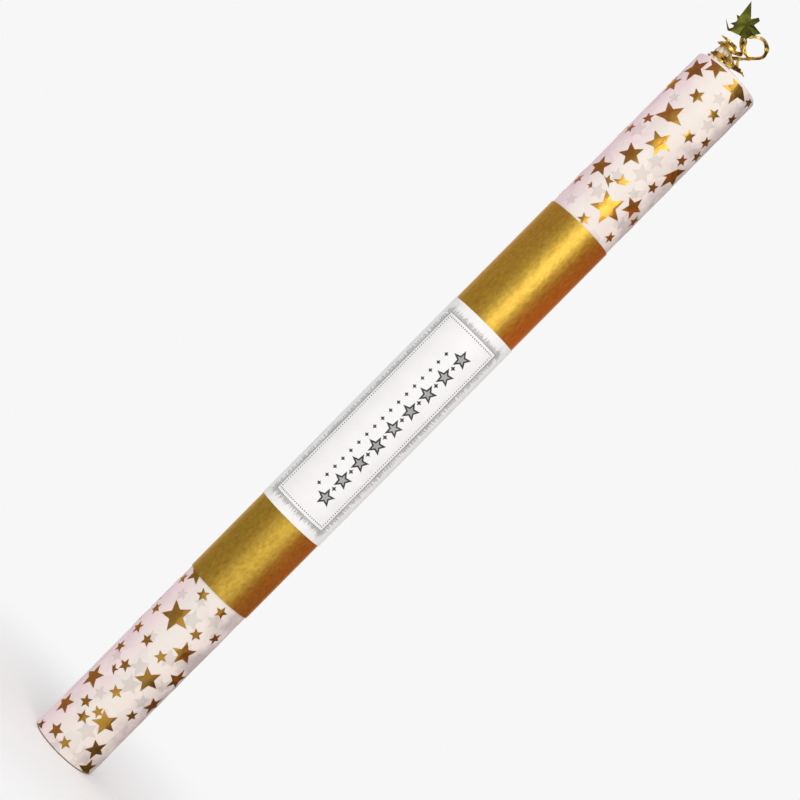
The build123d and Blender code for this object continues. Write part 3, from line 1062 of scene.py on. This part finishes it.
def add_garland():
    """Flat foil ribbons twisted into crinkled wires, and a bent tip of the star."""
    lower = stations_of(TAIL_ROUTE) + winding(*LOWER_WIND)
    upper = winding(*UPPER_WIND) + stations_of(END_ROUTE)
    for name, stations, radius, nodes in (
        ("garland_ribbon", lower + stations_of(LOOP_ROUTE) + upper, FOIL_RADIUS, ["garland_wire"]),
        ("garland_strand", stations_of(STRAND_ROUTE), STRAND_RADIUS, []),
        ("garland_ring_side", stations_of(RING_ROUTE), RING_RADIUS, []),
    ):
        points = smooth_line(stations)
        places, faces = sweep(points, foil_section(points, radius))
        add_piece(name, places, faces, garland_gold, "tied_top", "garland_foil", *nodes, smooth=False)
    tip = smooth_line(stations_of(LEAF_TIP))

    def thin_leaf(number, angle):
        share = number / (len(tip) - 1)
        middle, spread = LEAF_TIP_SECTION
        return LEAF_TIP_WIDTH * (LEAF_TIP_TAPER - share) * (middle - spread * math.cos(2 * angle))

    places, faces = sweep(tip, thin_leaf)
    add_piece("garland_leaf_tip", places, faces, garland_olive, "tied_top", "garland_foil")


def add_star_leaf(name, leaf, facing, folded, node):
    """A foil star with a low ridge along each bent arm, and one arm folded over. Facing is -1 or 1."""
    centre = above_rim((leaf["centre"][0], leaf["depth"], leaf["centre"][1]))
    arms = leaf["arms"]

    def corner(arm, half):
        angle, reach = arms[arm]
        if half:
            gap = (angle - arms[(arm + 1) % 5][0]) % 360
            angle -= gap / 2
            reach = leaf["waists"][arm]
        angle = math.radians(angle)
        return Vector((math.cos(angle), 0, math.sin(angle))) * (reach * MM)

    outline = []
    for number in range(10):
        arm, half = divmod(number, 2)
        following = (number + 1) % 10
        start = corner(arm, half)
        stop = corner(following // 2, following % 2)
        for step in range(LEAF_EDGE_STEPS):
            share = step / LEAF_EDGE_STEPS
            owner = following // 2 if half else arm
            outline.append((start.lerp(stop, share), share if half else 1 - share, owner))
    behind = -facing * LEAF_SHEET
    layers = [(ring, 0) for ring in range(1, LEAF_RINGS + 1)]
    layers += [(ring, behind) for ring in range(LEAF_RINGS, 0, -1)]
    places = []
    for ring, sheet in layers:
        share = ring / LEAF_RINGS
        for point, ridge, arm in outline:
            flat = point * share
            onward = corner(arm, 0).normalized()
            out = LEAF_RIDGE * ridge ** RIDGE_FALL * math.sin(math.pi * min(share, RIDGE_END)) ** RIDGE_CURVE
            out += LEAF_BEND * math.sin(BEND_TURN * arm + BEND_START) * share ** 2
            over = flat.dot(onward) - FOLD_AT * arms[arm][1] * MM
            if arm == folded and over > 0:
                flat -= onward * (FOLD_BACK * over)
                out = FOLD_LIFT + FOLD_RISE * over
            places.append(centre + flat + Vector((0, facing * out + sheet, 0)))
    faces = skin_faces(places, len(outline), centre, centre + Vector((0, behind, 0)))
    if facing > 0:
        faces = [face[::-1] for face in faces]
    add_piece(name, places, faces, garland_olive, "tied_top", "garland_foil", node)


def add_coatings():
    """Grainy spark coatings, rounded at both ends, each a little different."""
    material = coating_material()
    for number in SPARKLERS:
        node = f"sparkler_coat_{number:02d}"
        low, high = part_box(node)
        middle = (low + high) / 2
        radius = (high.x - low.x) / 2
        places = []
        for height in rows_between(low.z, high.z, COAT_ROW):
            end = min(height - low.z, high.z - height)
            tip = radius * (COAT_END + COAT_SWELL * math.sqrt(min(end / radius, 1)))
            for column in range(COAT_COLUMNS):
                angle = FULL_TURN * column / COAT_COLUMNS
                seat = Vector((math.cos(angle), math.sin(angle), height / COAT_LUMP))
                lump = noise.noise(seat * LUMP_SCALE + Vector((0, 0, number * LUMP_SHIFT)))
                out = min(tip + COAT_GRAIN * lump, radius)
                place = (middle.x + out * math.cos(angle), middle.y + out * math.sin(angle), height)
                places.append(Vector(place))
        ends = [Vector((middle.x, middle.y, end)) for end in (low.z, high.z)]
        faces = skin_faces(places, COAT_COLUMNS, *ends)
        body = f"sparkler_{number:02d}"
        add_piece(f"spark_coat_{number:02d}", places, faces, material, body, "spark_coating", node)


def dress_nodes():
    """Board and steel finishes on the nodes that keep their own shape."""
    board = kraft_material()
    steel = steel_material()
    finishes = {"card_tube": board, "base_plug": board}
    finishes.update({f"sparkler_wire_{number:02d}": steel for number in SPARKLERS})
    for name, material in finishes.items():
        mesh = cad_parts[name].data
        mesh.materials.clear()
        mesh.materials.append(material)


# Camera, light and floor
def add_camera():
    camera = new_object("camera", bpy.data.cameras.new("camera"))
    camera.data.lens = LENS
    camera.data.sensor_width = SENSOR
    columns = Matrix((camera_right, camera_up, -camera_forward)).transposed().to_4x4()
    camera.matrix_world = Matrix.Translation(CAMERA_PLACE) @ columns
    bpy.context.scene.camera = camera


def seen_directly(tree):
    """1 for rays that show the background: from the camera, or mirrored or let through."""
    light = add_node(tree, "LightPath", {})
    total = light.outputs["Is Camera Ray"]
    for name in ("Is Glossy Ray", "Is Transmission Ray"):
        total = add_node(tree, "Math", {0: total, 1: light.outputs[name]}, operation="MAXIMUM").outputs[0]
    return total


def show_mix(tree, output, factor, first, second):
    """Sends a mix of two shaders to the output of a tree."""
    mix = add_node(tree, "MixShader", {"Fac": factor, 1: first.outputs[0], 2: second.outputs[0]})
    feed(tree, tree.nodes[output], {"Surface": mix.outputs[0]})


def add_world():
    """Plain light from all sides, stronger towards one, behind a pale background."""
    world = bpy.data.worlds.new("studio")
    world.use_nodes = True
    bpy.context.scene.world = world
    tree = world.node_tree
    ambient = tree.nodes["Background"]
    towards = {0: place_in(tree, "Generated"), 1: AMBIENT_SLOPE}
    slope = add_node(tree, "VectorMath", towards, operation="DOT_PRODUCT")
    level = add_node(tree, "Math", {0: slope.outputs["Value"], 1: 1.0})
    feed(tree, ambient, {"Color": (*AMBIENT, 1), "Strength": level.outputs[0]})
    pale = add_node(tree, "Background", {"Color": BACKGROUND})
    show_mix(tree, "World Output", seen_directly(tree), ambient, pale)


def add_lamp(name, place, size, power, colour, mirrored):
    lamp = bpy.data.lights.new(name, "AREA")
    lamp.shape = "RECTANGLE"
    lamp.size, lamp.size_y = size
    lamp.energy = power
    lamp.color = colour
    holder = new_object(name, lamp)
    holder.location = place
    holder.rotation_mode = "QUATERNION"
    holder.rotation_quaternion = (Vector((0, 0, rim / 2)) - Vector(place)).to_track_quat("-Z", "Y")
    holder.visible_camera = False
    holder.visible_glossy = mirrored


def add_card(name, start, end, low, high, colour):
    """A plain card beside the object that only shows in shiny surfaces."""
    material, tree, shader = new_material(name)
    feed(tree, shader, {"Base Color": (0, 0, 0, 1), "Emission Color": (*colour, 1), "Emission Strength": 1.0})
    material.cycles.emission_sampling = "NONE"
    corners = [(*start, low), (*end, low), (*end, high), (*start, high)]
    card = mesh_object(name, corners, [(0, 1, 2, 3)], material)
    for ray in ("camera", "diffuse", "shadow", "transmission"):
        setattr(card, "visible_" + ray, False)


def add_floor():
    """A pale round floor that keeps the shadow by the tube and fades into the background."""
    steps = range(FLOOR_SEGMENTS)
    ring = [around(FULL_TURN * step / FLOOR_SEGMENTS, -FLOOR_DROP, FLOOR_RADIUS) for step in steps]
    material, tree, shader = new_material("floor")
    feed(tree, shader, {"Base Color": FLOOR_COLOUR, "Roughness": 1.0, "Specular IOR Level": 0.0})
    glow = add_node(tree, "Emission", {"Color": BACKGROUND})
    reach = add_node(tree, "VectorMath", {0: place_in(tree)}, operation="LENGTH").outputs["Value"]
    ends = (tissue_radius, FLOOR_SHADOW_REACH)
    fade = ranged(tree, reach, ends, (0, 1), interpolation_type="SMOOTHSTEP")
    share = add_node(tree, "Math", {0: fade, 1: seen_directly(tree)}, operation="MULTIPLY")
    show_mix(tree, "Material Output", share.outputs[0], shader, glow)
    floor = mesh_object("floor", ring, [tuple(steps)], material)
    floor.visible_glossy = False


add_camera()
add_world()
for lamp in LAMPS:
    add_lamp(*lamp)
for side, (start, end, colours) in enumerate(CARD_SIDES):
    for row, colour in enumerate(colours):
        name = f"card_{side * len(colours) + row}"
        add_card(name, start, end, CARD_EDGES[row + 1], CARD_EDGES[row], colour)
add_floor()
dress_nodes()
noise.seed_set(CRUMPLE_SEED)
add_wrap()
add_stars()
add_label_print()
add_tied_top()
add_garland()
add_star_leaf("garland_leaf_front", FRONT_LEAF, -1, FOLDED_ARM, "garland_star_front")
add_star_leaf("garland_leaf_back", BACK_LEAF, 1, None, "garland_star_back")
add_coatings()
bpy.context.scene.view_settings.view_transform = "Standard"
